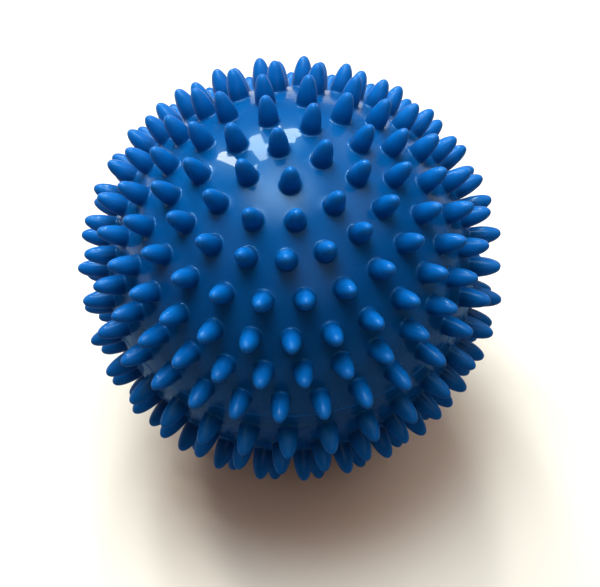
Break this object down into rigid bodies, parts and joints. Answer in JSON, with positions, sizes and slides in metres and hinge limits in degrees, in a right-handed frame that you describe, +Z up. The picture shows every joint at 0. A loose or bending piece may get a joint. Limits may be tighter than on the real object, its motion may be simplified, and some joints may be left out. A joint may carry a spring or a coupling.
{
  "type": "spiky massage ball",
  "caption": "Hollow air-filled massage ball of soft plastic, covered in blunt bullet-shaped spikes, with a seam bead round its equator and a removable needle valve plug underneath.",
  "frame": {"origin": "on the floor under the ball's centre, where the ball stands on the six spikes round its valve", "axes": "+Z up through the spike on the top pole, with the seam bead level; +X is the horizontal line about which one half turns over onto the other"},
  "size_m": [0.099, 0.0986, 0.0987],
  "materials": {
    "shell": "glossy soft blue PVC wall with satin spikes",
    "seam": "glossy soft blue PVC bead",
    "valve_insert": "satin blue PVC",
    "valve_plug": "soft dark rubber"
  },
  "bodies": {
    "ball": {"upper_shell": "shell", "lower_shell": "shell", "seam_bead": "seam", "valve_insert": "valve_insert"},
    "plug": {"valve_plug": "valve_plug"}
  },
  "joints": [
    {"name": "valve_plug_pull", "type": "slide", "parent": "ball", "child": "plug", "axis": [0, 0, -1], "range_m": [0, 0.012]}
  ]
}
